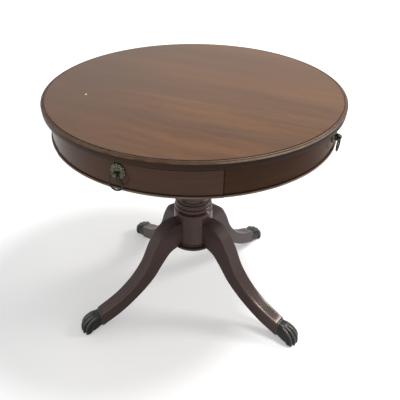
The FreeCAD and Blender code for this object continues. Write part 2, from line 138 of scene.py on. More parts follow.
topWood = {
    "dark": tone(89, 58, 37), "middle": tone(99, 67, 42), "light": tone(111, 78, 51), "pore": tone(66, 43, 29),
    "band": (0.75, 0.055, 0.055), "streak": (0.30, 0.0085, 0.0085), "fibre": (0.045, 0.0011, 0.0011),
    "poreSize": (0.011, 0.0006, 0.0006), "poreShare": 0.32, "mirrored": (1.0, 1.0, 1.0, 1.0),
    "roughness": 0.34, "streakRough": 0.10, "specular": 0.17, "coat": 0.0, "coatRough": 0.2, "bump": 0.00012,
    "wearAndHighlight": tone(160, 142, 120), "wearAndHighlightShare": 0.27,
}
friezeWood = {
    "dark": tone(77, 53, 39), "middle": tone(84, 58, 43), "light": tone(91, 64, 47), "pore": tone(60, 41, 30),
    "band": (0.30, 0.05, 0.05), "streak": (0.16, 0.007, 0.007), "fibre": (0.03, 0.0010, 0.0010),
    "poreSize": (0.010, 0.0006, 0.0006), "poreShare": 0.25, "mirrored": (1.0, 1.0, 1.0, 1.0),
    "roughness": 0.24, "streakRough": 0.10, "specular": 0.16, "coat": 0.03, "coatRough": 0.1, "bump": 0.000024,
    "wearAndHighlight": tone(158, 143, 126), "wearAndHighlightShare": 0.8,
}
# The frieze's section right of the drawer: a darker, duller copy of the frieze's finish, whose darker colour is
# painted shade
shadedFriezeWood = {**friezeWood, "dark": tone(73, 52, 40), "middle": tone(79, 57, 45), "light": tone(86, 63, 50),
            "specular": 0.02, "coat": 0.0}
legWood = {
    "dark": tone(46, 25, 25), "middle": tone(50, 28, 28), "light": tone(55, 31, 31), "pore": tone(38, 20, 20),
    "band": (0.22, 0.04, 0.04), "streak": (0.12, 0.006, 0.006), "fibre": (0.03, 0.0010, 0.0010),
    "poreSize": (0.010, 0.0006, 0.0006), "poreShare": 0.25, "mirrored": (1.0, 0.87, 0.78, 1.0),
    "roughness": 0.23, "streakRough": 0.04, "specular": 0.50, "coat": 0.0, "coatRough": 0.16, "bump": 0.000032,
    "wearAndHighlight": tone(118, 100, 90), "wearAndHighlightShare": 0.24, "dull": 0.20, "dullRadius": (0.13, 0.23),
}
pillarWood = {**legWood, "dark": tone(60, 41, 37), "middle": tone(69, 48, 43), "light": tone(79, 56, 49),
              "mirrored": (1.0, 0.95, 0.92, 1.0), "roughness": 0.19, "specular": 0.34, "coat": 0.15,
              "coatRough": 0.08, "dull": 0.0}
caseWood = {
    "dark": tone(88, 64, 44), "middle": tone(108, 80, 55), "light": tone(130, 100, 70),
    "pore": tone(64, 44, 30),
    "band": (0.40, 0.045, 0.045), "streak": (0.20, 0.007, 0.007), "fibre": (0.04, 0.0010, 0.0010),
    "poreSize": (0.008, 0.0007, 0.0007), "poreShare": 0.45, "mirrored": (1.0, 1.0, 1.0, 1.0),
    "roughness": 0.62, "streakRough": 0.10, "specular": 0.30, "coat": 0.0, "coatRough": 0.2, "bump": 0.00032,
}
# The same for every wood: detail and roughness of each noise, shares, the places of the three colours on the
# figure, and what wear with painted highlights, and dirt with painted shade, do
woodMix = {
    "band": (3.0, 0.55), "streak": (4.0, 0.6), "fibre": (2.0, 0.5), "pores": (1.0, 0.4),
    "bandShare": 0.5, "streakShare": 0.36, "fibreShare": 0.14, "stops": (0.37, 0.50, 0.65),
    "poreEdge": (0.60, 0.72), "poreDepth": 0.65, "fibreHeight": 0.35,
    "wearAndHighlightRough": 0.1, "dirtAndShade": tone(22, 14, 11), "dirtAndShadeShare": 0.8, "dirtAndShadeRough": 0.3,
}


# Broad bands, narrow streaks and fine fibres are noise drawn out along x of the grain's place and added up for
# the colour; pores are the darkest specks of a finer noise; wear and painted highlights lighten it, dirt and
# painted shade darken it
def woodFinish(name, look, placeOf, wearAndHighlightOf=None, dirtAndShadeOf=None, tintOf=None):
    material, nodes, shader = newFinish(name)
    place = placeOf(nodes)
    band, streak, fibre = (nodes.noise(place, look[kind], *woodMix[kind])
                           for kind in ("band", "streak", "fibre"))
    pores = nodes.noise(place, look["poreSize"], *woodMix["pores"]).rise(*woodMix["poreEdge"])
    figure = band * woodMix["bandShare"] + streak * woodMix["streakShare"] + fibre * woodMix["fibreShare"]
    colours = zip(woodMix["stops"], (look["dark"], look["middle"], look["light"]))
    colour = nodes.add("ValToRGB", {0: figure}, stops=tuple(colours))
    colour = nodes.mix(pores * look["poreShare"], colour, look["pore"])
    if tintOf:
        colour = tintOf(nodes, colour)
    rough = look["roughness"] + (streak - 0.5) * look["streakRough"]
    if look.get("dull"):
        rough = rough + (1 - radiusOf(nodes).rise(*look["dullRadius"])) * look["dull"]
    if wearAndHighlightOf:
        wearAndHighlight = wearAndHighlightOf(nodes)
        colour = nodes.mix(wearAndHighlight * look["wearAndHighlightShare"], colour, look["wearAndHighlight"])
        rough = rough + wearAndHighlight * woodMix["wearAndHighlightRough"]
    if dirtAndShadeOf:
        dirtAndShade = dirtAndShadeOf(nodes)
        colour = nodes.mix(dirtAndShade * woodMix["dirtAndShadeShare"], colour, woodMix["dirtAndShade"])
        rough = rough + dirtAndShade * woodMix["dirtAndShadeRough"]
    height = fibre * woodMix["fibreHeight"] - pores * woodMix["poreDepth"]
    normal = nodes.add("Bump", {"Strength": 1.0, "Distance": look["bump"], "Height": height})
    nodes.feed(shader, {"Base Color": colour, "Roughness": rough, "Normal": normal,
                        "Specular IOR Level": look["specular"], "Specular Tint": look["mirrored"],
                        "Coat Weight": look["coat"], "Coat Roughness": look["coatRough"]})
    return material


def objectPlace(nodes):  # as it is, the grain runs along x
    return nodes.add("TexCoord", output="Object")


def grainAlongY(nodes):  # x and y change places
    x, y, z = nodes.axes(objectPlace(nodes))
    return nodes.join(y, x, z)


def grainUpright(nodes):  # height comes first
    x, y, z = nodes.axes(objectPlace(nodes))
    return nodes.join(z, x, y)


def radiusOf(nodes):  # distance from the table's upright axis
    x, y, z = nodes.axes(objectPlace(nodes))
    return (x * x + y * y) ** 0.5


drumCurve = {"radius": 0.3645, "seam": math.radians(119.0)}  # where the turn starts anew


# Round the drum the grain follows the curve: turn times the radius is the length along it
def grainRoundDrum(nodes):
    x, y, z = nodes.axes(objectPlace(nodes))
    cosine, sine = math.cos(drumCurve["seam"]), math.sin(drumCurve["seam"])
    across, ahead = y * cosine + x * sine, x * cosine - y * sine
    return nodes.join(across.math("ARCTAN2", across, ahead) * drumCurve["radius"], z, radiusOf(nodes))


def grainAttribute(nodes):  # length along a piece, across it and through it
    return nodes.add("Attribute", output="Vector", attribute_name="grain")


def crestAttribute(nodes):  # above 0 on what is rubbed, below 0 in grooves
    return nodes.add("Attribute", output="Fac", attribute_name="crest")


def rubbedAttribute(nodes):  # the crest value where it is above 0
    return crestAttribute(nodes).largest(0)


def hollowAttribute(nodes):  # how far the crest value is below 0
    return (crestAttribute(nodes) * -1).largest(0)


# where painted shade darkens a leg's shoulder beside the pillar's block
legShoulderShade = {"radius": (0.085, 0.160), "height": (0.250, 0.285), "share": 0.75}


# Dirt of a leg lies in its grooves, and painted shade darkens its shoulder beside the pillar's block
def legDirtAndShade(nodes):
    z = nodes.axes(objectPlace(nodes))[2]
    shadedShoulder = (1 - radiusOf(nodes).rise(*legShoulderShade["radius"])) * z.rise(*legShoulderShade["height"])
    return hollowAttribute(nodes).largest(shadedShoulder * legShoulderShade["share"])


# Two directions that stay fixed on the table, in its own coordinates. The first is the side that the photograph
# shows nearest, 25.3 degrees round from the drawer, and the second is the right of it as seen from there
nearSide = (0.427, -0.904)


def towardsNear(nodes):  # distance from the middle towards the near side
    x, y, z = nodes.axes(objectPlace(nodes))
    return x * nearSide[0] + y * nearSide[1]


def towardsRight(nodes):  # distance from the middle towards the right of the near side
    x, y, z = nodes.axes(objectPlace(nodes))
    return x * -nearSide[1] + y * nearSide[0]


# The top's moulded edge: a dirty line round it between the flat and two thin beads, which are darker than the
# flat and rubbed on their crests, with a painted highlight on the crests near on the right, and painted shade on
# the round below them
topEdge = {
    "flatRadius": 0.3732, "stain": tone(74, 49, 33), "stainEdge": 0.0004,
    "lineReach": 0.0036, "lineHeight": (0.692, 0.6935), "lineFrom": (0.10, 0.34), "farLine": 0.3,
    "inner": 0.3763, "outer": 0.3820, "crestReach": 0.0016, "crestRise": 0.002,
    "patch": (0.03, 0.03, 0.01), "patchEdge": (0.3, 0.7), "patchShare": 0.9,
    "highlightShare": 1.9, "highlightFrom": (0.0, 0.15), "highlightTo": (0.20, 0.34), "highlightLoss": 0.85,
    "highlightNear": (-0.02, 0.16),
    "below": 0.6888, "belowEdge": 0.0006, "belowLine": 0.0009, "belowRim": (0.379, 0.3795),
    "paintedShade": tone(60, 37, 23), "shadeFrom": (-0.14, 0.10), "shadeShare": 0.6,
}


def topBelow(nodes):  # 1 on the round below the beads
    z = nodes.axes(objectPlace(nodes))[2]
    return 1 - z.rise(topEdge["below"] - topEdge["belowEdge"], topEdge["below"] + topEdge["belowEdge"])


def topWearAndHighlight(nodes):  # nearness to a bead's crest, times patches of noise (wear) and a painted highlight near on the right
    away = radiusOf(nodes)
    height = nodes.axes(objectPlace(nodes))[2].rise(topEdge["below"], topEdge["below"] + topEdge["crestRise"])
    inner, outer = (away.near(topEdge[bead], topEdge["crestReach"]) for bead in ("inner", "outer"))
    patchy = nodes.noise(objectPlace(nodes), topEdge["patch"]).rise(*topEdge["patchEdge"])
    # rubbed: a painted highlight on the crests near on the right, fading out further right
    right = towardsRight(nodes)
    loss = right.rise(*topEdge["highlightTo"]) * topEdge["highlightLoss"]
    rubbed = right.rise(*topEdge["highlightFrom"]) * (1 - loss) * towardsNear(nodes).rise(*topEdge["highlightNear"])
    return inner.largest(outer) * height * (patchy * topEdge["patchShare"] + rubbed * topEdge["highlightShare"])


def topDirtAndShade(nodes):  # the largest of the dirty line round the flat, painted shade on the round below the beads on the right, and a dark line under the beads
    z = nodes.axes(objectPlace(nodes))[2]
    away = radiusOf(nodes)
    line = away.near(topEdge["flatRadius"], topEdge["lineReach"]) * z.rise(*topEdge["lineHeight"])
    far = topEdge["farLine"]
    line = line * (towardsNear(nodes).rise(*topEdge["lineFrom"]) * (1 - far) + far)
    # painted shade: the round below the beads darkened further on the right
    paintedShade = topBelow(nodes) * towardsRight(nodes).rise(*topEdge["shadeFrom"]) * topEdge["shadeShare"]
    under = z.near(topEdge["below"], topEdge["belowLine"]) * away.rise(*topEdge["belowRim"])
    return line.largest(paintedShade).largest(under)


# Boards of the top that came out redder or greyer, as bands across the grain (the first of each is the
# strongest), dark and pale flames of the figure on the near half, a painted reflection that makes the far half
# greyer, painted shade that makes the left greyer and darker, one long pale scratch given by its slope and its
# place over the middle, and one pale chip
topBoards = {
    "wander": (0.35, 0.12, 0.12), "wanderDetail": 2.0, "wanderReach": 0.16,
    "red": ((-0.27, 0.10), (-0.13, 0.05), (0.10, 0.06)), "redWeak": 0.6, "redShare": 0.2,
    "redTone": tone(130, 84, 46),
    "grey": ((-0.185, 0.06), (0.0, 0.09), (0.25, 0.12)), "greyWeak": 0.7, "greyShare": 0.22,
    "greyTone": tone(88, 68, 54),
}
topFlame = {
    "side": (-0.12, 0.24), "curl": (0.16, 0.10, 0.10), "curlDetail": 2.0, "curlReach": 0.10,
    "size": (0.30, 0.034, 0.034), "darkEdge": (0.47, 0.66), "darkShare": 0.25, "darkTone": tone(60, 38, 26),
    "paleEdge": (0.34, 0.50), "paleShare": 0.16, "paleTone": tone(138, 98, 62),
    "reflectionShare": 0.20, "reflectionTone": tone(96, 76, 60), "shadedSide": (-0.32, 0.06), "shadedShare": 0.5,
    "shadedTone": tone(78, 57, 44),
}
topScratch = {"slope": 0.0651, "offset": -0.0791, "reach": 0.0030, "ends": (-0.262, 0.160), "fadeIn": 0.03,
              "fadeOut": 0.12, "share": 0.24, "tone": tone(150, 118, 92)}
topChip = {"place": (-0.2258, -0.1524), "reach": (0.00248, 0.0031), "height": (0.694, 0.6945),
           "tone": tone(236, 228, 214)}


def boardBands(line, bands, weak):  # 1 on the first band, a smaller share on the others
    shown = line.near(*bands[0])
    for band in bands[1:]:
        shown = shown.largest(line.near(*band) * weak)
    return shown


def topTint(nodes, colour):  # each tone of the top is mixed over the last by its own mask
    x, y, z = nodes.axes(objectPlace(nodes))
    wander = nodes.noise(objectPlace(nodes), topBoards["wander"], topBoards["wanderDetail"])
    line = y + (wander - 0.5) * topBoards["wanderReach"]
    for board in ("red", "grey"):
        shown = boardBands(line, topBoards[board], topBoards[board + "Weak"])
        colour = nodes.mix(shown * topBoards[board + "Share"], colour, topBoards[board + "Tone"])
    near = towardsNear(nodes).rise(*topFlame["side"])
    curl = nodes.noise(objectPlace(nodes), topFlame["curl"], topFlame["curlDetail"]) - 0.5
    flame = nodes.noise(nodes.join(x, y + curl * topFlame["curlReach"], z), topFlame["size"])
    dark, pale = flame.rise(*topFlame["darkEdge"]), 1 - flame.rise(*topFlame["paleEdge"])
    colour = nodes.mix(dark * near * topFlame["darkShare"], colour, topFlame["darkTone"])
    colour = nodes.mix(pale * near * topFlame["paleShare"], colour, topFlame["paleTone"])
    # painted reflection: the far half greyer
    colour = nodes.mix((1 - near) * topFlame["reflectionShare"], colour, topFlame["reflectionTone"])
    # painted shade: the left side greyer and darker
    dull = 1 - towardsRight(nodes).rise(*topFlame["shadedSide"])
    colour = nodes.mix(dull * topFlame["shadedShare"], colour, topFlame["shadedTone"])
    first, last = topScratch["ends"]
    scratch = (y - x * topScratch["slope"]).near(topScratch["offset"], topScratch["reach"])
    scratch = (scratch * x.rise(first, first + topScratch["fadeIn"])
               * (1 - x.rise(last - topScratch["fadeOut"], last)))
    colour = nodes.mix(scratch * topScratch["share"], colour, topScratch["tone"])
    chipX, chipY = topChip["place"]
    away = ((x - chipX) * (x - chipX) + (y - chipY) * (y - chipY)) ** 0.5
    chip = (1 - away.rise(*topChip["reach"])) * z.rise(*topChip["height"])
    colour = nodes.mix(chip, colour, topChip["tone"])
    outside = radiusOf(nodes).rise(topEdge["flatRadius"], topEdge["flatRadius"] + topEdge["stainEdge"])
    colour = nodes.mix(outside, colour, topEdge["stain"])
    # painted shade on the round below the beads, all the way round
    return nodes.mix(topBelow(nodes), colour, topEdge["paintedShade"])


# The drum's base bead is worn on its crest, and its quirk and the drawer's two seams hold dirt
baseBead = {"crest": 0.6040, "crestReach": 0.0032, "outside": (0.366, 0.368), "patch": (0.04, 0.04, 0.01),
            "patchEdge": (0.30, 0.70), "patchShare": 0.6, "quirk": 0.6071, "quirkReach": 0.0014}
drawerSeam = {"across": 0.2100, "reach": 0.0014, "share": 0.8, "front": (0.1, 0.2), "top": (0.665, 0.667)}


def friezeWear(nodes):  # nearness to the bead's crest, times patches of noise
    z = nodes.axes(objectPlace(nodes))[2]
    patchy = nodes.noise(objectPlace(nodes), baseBead["patch"]).rise(*baseBead["patchEdge"])
    crest = z.near(baseBead["crest"], baseBead["crestReach"]) * radiusOf(nodes).rise(*baseBead["outside"])
    return crest * (patchy * baseBead["patchShare"] + (1 - baseBead["patchShare"]))


def friezeDirt(nodes):  # nearness to the quirk or to one of the two seams
    x, y, z = nodes.axes(objectPlace(nodes))
    seam = abs(x).near(drawerSeam["across"], drawerSeam["reach"]) * (y * -1).rise(*drawerSeam["front"])
    seam = seam * (1 - z.rise(*drawerSeam["top"])) * drawerSeam["share"]
    return z.near(baseBead["quirk"], baseBead["quirkReach"]).largest(seam)


# the top's wear includes a painted highlight on the bead crests, and its dirt painted shade below them
topMahogany = woodFinish("topMahogany", topWood, objectPlace, topWearAndHighlight, topDirtAndShade, topTint)
friezeMahogany = woodFinish("friezeMahogany", friezeWood, grainRoundDrum, friezeWear, friezeDirt)
# painted shade: the frieze right of the drawer in a darker copy of the frieze's finish
shadedFriezeMahogany = woodFinish("shadedFriezeMahogany", shadedFriezeWood, grainRoundDrum, friezeWear, friezeDirt)
pillarMahogany = woodFinish("pillarMahogany", pillarWood, grainUpright)
legMahogany = woodFinish("legMahogany", legWood, grainAttribute, rubbedAttribute, legDirtAndShade)
caseAlongX = woodFinish("caseWoodAlongX", caseWood, objectPlace)
caseAlongY = woodFinish("caseWoodAlongY", caseWood, grainAlongY)
print("woods made")


# Metal and leather

pullBrass = {
    "hollow": tone(44, 46, 37), "face": tone(110, 110, 93), "crest": tone(190, 186, 160), "roughness": 0.40,
    "metallic": 0.75, "blotch": 0.006, "grain": 0.0007, "bump": 0.00025,
}
ringBrass = {
    "hollow": tone(30, 29, 25), "face": tone(66, 64, 56), "crest": tone(124, 120, 104), "roughness": 0.36,
    "metallic": 0.8, "blotch": 0.008, "grain": 0.0007, "bump": 0.0002,
}
pawBrass = {
    "hollow": tone(22, 22, 21), "face": tone(40, 41, 39), "crest": tone(98, 97, 90), "roughness": 0.38,
    "metallic": 0.55, "blotch": 0.012, "grain": 0.0009, "bump": 0.0002,
}
darkIron = {
    "hollow": tone(38, 36, 35), "face": tone(70, 68, 66), "crest": tone(112, 108, 104), "roughness": 0.5,
    "metallic": 0.85, "blotch": 0.009, "grain": 0.0008, "bump": 0.0002,
}
# The same for every metal: detail and roughness of the noises, shares, and the face's place between hollow
# and crest
metalMix = {
    "blotch": (4.0, 0.6), "grain": (2.0, 0.5), "plainEdge": (0.35, 0.75), "plainShare": 0.6,
    "crestShare": 0.75, "blotchShare": 0.5, "start": 0.05, "faceStop": 0.42,
    "grainHeight": 0.4, "blotchHeight": 0.6, "bumpStrength": 0.7, "blotchRough": 0.3, "crestPolish": 0.08,
}


# Tarnish is noise in two sizes; the crest value of a cast piece rubs it bright, and its hollows stay dark
def metalFinish(name, look, cast):
    material, nodes, shader = newFinish(name)
    place = objectPlace(nodes)
    blotch, grain = (nodes.noise(place, (look[kind],) * 3, *metalMix[kind]) for kind in ("blotch", "grain"))
    crest = crestAttribute(nodes) if cast else blotch.rise(*metalMix["plainEdge"]) * metalMix["plainShare"]
    shown = crest * metalMix["crestShare"] + (blotch - 0.5) * metalMix["blotchShare"] + metalMix["start"]
    stops = ((0.0, look["hollow"]), (metalMix["faceStop"], look["face"]), (1.0, look["crest"]))
    colour = nodes.add("ValToRGB", {0: shown}, stops=stops)
    height = grain * metalMix["grainHeight"] + blotch * metalMix["blotchHeight"]
    normal = nodes.add("Bump", {"Strength": metalMix["bumpStrength"], "Distance": look["bump"],
                                "Height": height})
    rough = look["roughness"] + (blotch - 0.5) * metalMix["blotchRough"] - crest * metalMix["crestPolish"]
    nodes.feed(shader, {"Base Color": colour, "Roughness": rough, "Metallic": look["metallic"],
                        "Normal": normal})
    return material


leatherLook = {
    "dark": tone(58, 38, 26), "light": tone(92, 62, 42), "pebble": 0.0016, "stain": (0.03, 0.03, 0.03),
    "cellShare": 0.6, "stainShare": 0.5, "darkEdge": (0.1, 0.9), "roughness": 0.6, "cellRough": 0.2,
    "bump": 0.0003, "bumpStrength": 0.5,
}


# Leather is a pebbled cell pattern, paler on the raised cells
def leatherFinish(name, look):
    material, nodes, shader = newFinish(name)
    place = objectPlace(nodes)
    cells = nodes.add("TexVoronoi", {"Vector": place, "Scale": 1 / look["pebble"]})
    dark = cells * look["cellShare"] + nodes.noise(place, look["stain"]) * look["stainShare"]
    colour = nodes.mix(dark.rise(*look["darkEdge"]), look["light"], look["dark"])
    normal = nodes.add("Bump", {"Strength": look["bumpStrength"], "Distance": look["bump"],
                                "Height": 1 - cells})
    nodes.feed(shader, {"Base Color": colour, "Roughness": look["roughness"] + cells * look["cellRough"],
                        "Normal": normal})
    return material


castPull = metalFinish("castPullBrass", pullBrass, True)
plainRing = metalFinish("plainRingBrass", ringBrass, False)
castPawBrass = metalFinish("castPawBrass", pawBrass, True)
plainDarkBrass = metalFinish("plainDarkBrass", pawBrass, False)
iron = metalFinish("darkIron", darkIron, False)
leather = leatherFinish("bearingLeather", leatherLook)

finishNodes = (
    (topMahogany, "table_top"),
    (friezeMahogany, "frieze_right_rear frieze_rear frieze_left_rear frieze_left_front"),
    (friezeMahogany, "drawer_rail drawer_front"),
    (shadedFriezeMahogany, "frieze_right_front"),
    (pillarMahogany, "pillar"),
    (leather, "bearing_ring"),
    (caseAlongX, "bearer drum_floor drawer_back drawer_bottom drawer_stops glue_blocks"),
    (caseAlongY, "guide_left guide_right kicker_left kicker_right drawer_side_left drawer_side_right"),
    (plainRing, "ring_front ring_right ring_rear ring_left"),
    (plainDarkBrass, "pivot_bush paw_pins"),
)
finishes = {name: finish for finish, names in finishNodes for name in names.split()}
for name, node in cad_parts.items():
    for slot in node.material_slots:
        slot.material = finishes.get(name, iron)
print("finishes on the frame's nodes")


# Shapes

curveFineness = 12  # points worked out along a curve for each point that is kept
mergeDistance = 1e-6


# Cubic curve through the points, its slopes taken from their neighbours, then spaced evenly by length
def smoothLine(points, count):
    points = np.asarray(points, float)
    chord = np.concatenate([[0], np.cumsum(np.linalg.norm(np.diff(points, axis=0), axis=1))])
    slope = np.gradient(points, chord, axis=0)
    at = np.linspace(0, chord[-1], count * curveFineness)
    index = np.clip(np.searchsorted(chord, at, side="right") - 1, 0, len(points) - 2)
    step = np.diff(chord)[index][:, None]
    t = (at - chord[index])[:, None] / step
    start, end = points[index], points[index + 1]
    line = ((2 * t ** 3 - 3 * t ** 2 + 1) * start + (t ** 3 - 2 * t ** 2 + t) * step * slope[index]
            + (3 * t ** 2 - 2 * t ** 3) * end + (t ** 3 - t ** 2) * step * slope[index + 1])
    length = np.concatenate([[0], np.cumsum(np.linalg.norm(np.diff(line, axis=0), axis=1))])
    even = np.linspace(0, length[-1], count)
    return np.stack([np.interp(even, length, line[:, axis]) for axis in range(points.shape[1])], -1)


# Turns points about the table's axis; azimuth 0 leaves -Y in front
def turned(points, azimuth):
    turn = math.radians(azimuth)
    x, y, z = np.moveaxis(np.asarray(points), -1, 0)
    return np.stack([x * math.cos(turn) - y * math.sin(turn), x * math.sin(turn) + y * math.cos(turn), z], -1)


# Quads between the neighbours of a grid; the last column meets the first, and so does the last row if looped
def gridQuads(rows, columns, looped, start):
    row, column = np.meshgrid(np.arange(rows if looped else rows - 1), np.arange(columns), indexing="ij")
    beside, below = (column + 1) % columns, (row + 1) % rows
    corners = (row * columns + column, row * columns + beside,
               below * columns + beside, below * columns + column)
    return start + np.stack(corners, -1).reshape(-1, 4)


# One piece out of closed shells, each a grid of points with its grain and crest values
def makePiece(name, shells, finish, body, node):
    points = np.concatenate([shell["points"].reshape(-1, 3) for shell in shells])
    starts = np.cumsum([0] + [shell["points"].shape[0] * shell["points"].shape[1] for shell in shells])
    quads = np.concatenate([gridQuads(*shell["points"].shape[:2], shell.get("looped", False), start)
                            for shell, start in zip(shells, starts)])
    grain = np.concatenate([shell.get("grain", shell["points"]).reshape(-1, 3) for shell in shells])
    crest = np.concatenate([shell["crest"].ravel() for shell in shells])
    mesh = bpy.data.meshes.new(name)
    mesh.from_pydata(points, [], quads)
    mesh.attributes.new("grain", "FLOAT_VECTOR", "POINT").data.foreach_set("vector", grain.ravel())
    mesh.attributes.new("crest", "FLOAT", "POINT").data.foreach_set("value", crest)
    shape = bmesh.new()
    shape.from_mesh(mesh)
    bmesh.ops.remove_doubles(shape, verts=shape.verts, dist=mergeDistance)
    bmesh.ops.recalc_face_normals(shape, faces=shape.faces)
    shape.to_mesh(mesh)
    shape.free()
    mesh.shade_smooth()
    mesh.materials.append(finish)
    piece = bpy.data.objects.new(name, mesh)
    bpy.context.scene.collection.objects.link(piece)
    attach(piece, body)
    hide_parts(node)


# A tube whose end rows are drawn in to a point, so that it is closed
def closedEnds(points):
    first, last = (np.broadcast_to(row.mean(axis=1, keepdims=True), row.shape)
                   for row in (points[:1], points[-1:]))
    return np.concatenate([first, points, last])


def closedValues(values):  # the first and last rows of values once more, for those points
    return np.concatenate([values[:1], values, values[-1:]])


# Legs

pedestalTurns = {"front_left": -34.9, "front_right": 78.1, "rear_right": 166.1, "rear_left": -122.9}
legShape = {
    # upper and lower line from the root to the collar: distance from the axis and height
    "top": ((0.0490, 0.3000), (0.0880, 0.2949), (0.1139, 0.2751), (0.1376, 0.2391), (0.1667, 0.1779),
            (0.2016, 0.1329), (0.2496, 0.0936), (0.3200, 0.0590)),
    "bottom": ((0.0490, 0.2220), (0.0618, 0.2196), (0.0880, 0.2070), (0.1139, 0.1761), (0.1459, 0.1311),
               (0.1757, 0.1008), (0.2096, 0.0729), (0.2592, 0.0399), (0.3200, 0.0120)),
    "rootRadius": 0.059, "rootWidth": 0.050, "endRadius": 0.320, "endWidth": 0.039, "cornerRadius": 0.0045,
    "reeds": 6, "reedShare": 0.60, "reedDepth": 0.0011, "reedSharp": 0.75,
    "reedStart": (0.30, 0.36), "reedEnd": (0.955, 0.975),
    "edgeWear": 0.8, "reedWear": 0.65, "grooveDirt": 0.9, "grainStep": (0.7, 0.11, 0.0),
    "rows": 120, "topColumns": 105, "cornerColumns": 4, "sideColumns": 9, "underColumns": 15,
}


# Columns of a leg's section: each is a share of half the width and of the height, and an offset from there
def legSection(look):
    corner = look["cornerRadius"]
    none, full = np.zeros_like, np.ones_like
    across = np.linspace(1, -1, look["topColumns"])
    turn = np.linspace(0, math.pi / 2, look["cornerColumns"] + 2)[1:-1]
    side = np.linspace(1, 0, look["sideColumns"])
    under = np.linspace(-1, 1, look["underColumns"])
    parts = [np.stack(columns, -1) for columns in (
        (across, -across * corner, full(across), none(across)),
        (-full(turn), corner * (1 - np.sin(turn)), full(turn), corner * (np.cos(turn) - 1)),
        (-full(side), none(side), side, corner * (1 - 2 * side)),
        (-full(turn), corner * (1 - np.cos(turn)), none(turn), corner * (1 - np.sin(turn))),
        (under, -under * corner, none(under), none(under)))]
    return np.concatenate(parts + [part[::-1] * (-1, -1, 1, 1) for part in parts[3:0:-1]])


# The section is carried from the root to the collar: each row stands between the upper and the lower line,
# and the reeds are half rounds cut into the upper face, fading out near the root and at the collar
def legShell(look):
    top = smoothLine(look["top"], look["rows"])
    bottom = smoothLine(look["bottom"], look["rows"])
    height = np.linalg.norm(top - bottom, axis=1)
    rise = (top - bottom) / height[:, None]
    middle = (top + bottom) / 2
    length = np.concatenate([[0], np.cumsum(np.linalg.norm(np.diff(middle, axis=0), axis=1))])
    width = np.interp(middle[:, 0], (look["rootRadius"], look["endRadius"]),
                      (look["rootWidth"], look["endWidth"]))
    section = legSection(look)
    across = section[:, 0] * width[:, None] / 2 + section[:, 1]
    level = section[:, 2] * height[:, None] + section[:, 3]
    onTop = (section[:, 2] == 1) & (section[:, 3] == 0)
    share = across / (width[:, None] * look["reedShare"]) + 0.5
    notch = 1 - np.abs(np.sin(np.pi * look["reeds"] * share)) ** look["reedSharp"]
    inside = onTop & (share >= 0) & (share <= 1)
    along = (length / length[-1])[:, None]
    fade = (np.clip((along - look["reedStart"][0]) / np.ptp(look["reedStart"]), 0, 1)
            * np.clip((look["reedEnd"][1] - along) / np.ptp(look["reedEnd"]), 0, 1))
    groove = np.where(inside, notch, 0) * fade
    level = level - groove * look["reedDepth"]
    points = np.stack([bottom[:, :1] + rise[:, :1] * level, across, bottom[:, 1:] + rise[:, 1:] * level], -1)
    edge = (np.abs(section[:, 0]) == 1) & (section[:, 2] == 1) & (section[:, 3] <= 0) & (section[:, 1] != 0)
    crest = (edge * look["edgeWear"] + inside * fade * (1 - notch) ** 2 * look["reedWear"]
             - groove * look["grooveDirt"])
    grain = np.stack(np.broadcast_arrays(length[:, None], across, level), -1)
    return points, grain, crest


legPoints, legGrain, legCrest = legShell(legShape)
for order, (leg, azimuth) in enumerate(pedestalTurns.items()):
    shell = {"points": closedEnds(turned(legPoints, azimuth - 90)), "crest": closedValues(legCrest),
             "grain": closedValues(legGrain + order * np.array(legShape["grainStep"]))}
    makePiece("reeded_leg_" + leg, [shell], legMahogany, "pedestal", leg + "_leg")
print("legs")


# Paws

pawShape = {
    "start": 0.320,
    # distance from the collar, top, bottom and half width of the foot that the toes grow out of
    "foot": ((0.0, 0.0590, 0.0120, 0.0195), (0.005, 0.0585, 0.0105, 0.0197), (0.012, 0.0574, 0.0072, 0.0201),
             (0.020, 0.0552, 0.0032, 0.0206), (0.028, 0.0508, 0.0008, 0.0208), (0.0375, 0.0424, 0.0004, 0.0204),
             (0.047, 0.0290, 0.0004, 0.0184)),
    "footRows": 46, "footColumns": 96, "squareness": 0.62,
    "collar": 0.0009, "collarLength": 0.0022, "collarFall": 0.0016,
    "fur": 0.0002, "furLocks": 22, "furTwist": 60, "furStart": 0.01, "furFrom": -0.2,
    "footCrest": 0.25, "collarCrest": 0.6, "furGain": 800, "furGainFrom": 0.006,
    # each toe: its middle across, how far back it stands, its turn outwards in degrees and its size
    "toes": ((-0.0152, 0.0052, -5, 0.97), (-0.0052, 0.0, -2, 1.0), (0.0052, 0.0, 2, 1.0),
             (0.0152, 0.0052, 5, 0.97)),
    # a toe's middle line: forward and up, then its half width and half height
    "toeLine": ((0.0080, 0.0465, 0.0046, 0.0060), (0.0180, 0.0452, 0.0058, 0.0094),
                (0.0282, 0.0413, 0.0065, 0.0116), (0.0387, 0.0335, 0.0068, 0.0130),
                (0.0457, 0.0240, 0.0069, 0.0132), (0.0486, 0.0146, 0.0069, 0.0120),
                (0.0493, 0.0080, 0.0067, 0.0112), (0.0493, 0.0012, 0.0062, 0.0104)),
    "clawLine": ((0.0530, 0.0186, 0.0048, 0.0042), (0.0556, 0.0140, 0.0049, 0.0044),
                 (0.0562, 0.0096, 0.0049, 0.0042), (0.0564, 0.0054, 0.0046, 0.0040),
                 (0.0564, 0.0012, 0.0041, 0.0036)),
    "toeRows": 40, "clawRows": 18, "toeColumns": 32, "toePivot": 0.0282, "soleHeight": 0.0002,
    "capStart": 0.88, "capDepth": 0.7, "toeCrest": 0.08, "toeBack": 0.35, "toeMiddle": 0.65, "clawCrest": 0.55,
}


